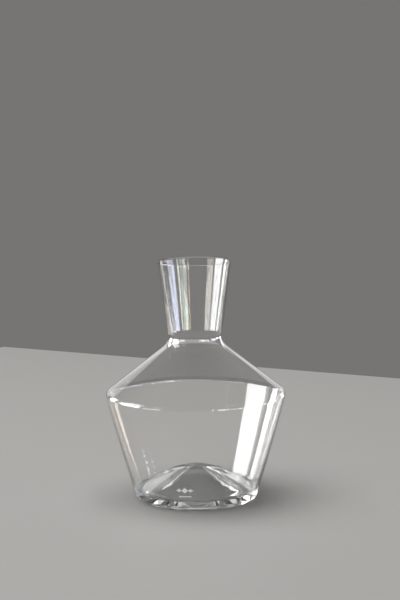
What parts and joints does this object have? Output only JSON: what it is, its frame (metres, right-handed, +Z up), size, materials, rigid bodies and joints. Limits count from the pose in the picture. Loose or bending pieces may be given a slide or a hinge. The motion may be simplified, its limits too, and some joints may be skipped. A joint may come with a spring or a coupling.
{
  "type": "wine decanter",
  "caption": "Mouth-blown clear glass decanter: flared conical neck, sloping angular shoulder, body tapering to a ring base with a pushed-up punt.",
  "frame": {"origin": "on the table, at the centre of the standing ring", "axes": "+Z up along the axis of the turned glass, through the middle of the mouth; the printed mark is on the -Y side, 10 degrees towards -X"},
  "size_m": [0.1802, 0.1802, 0.24],
  "materials": {
    "clear_glass": "clear lead-free crystal, fire-polished, faint blown waviness",
    "white_enamel": "white enamel print fired onto the glass, slightly satin"
  },
  "bodies": {
    "root": {"glass_vessel": "clear_glass", "mark_lozenges": "white_enamel", "mark_line": "white_enamel"}
  },
  "joints": []
}
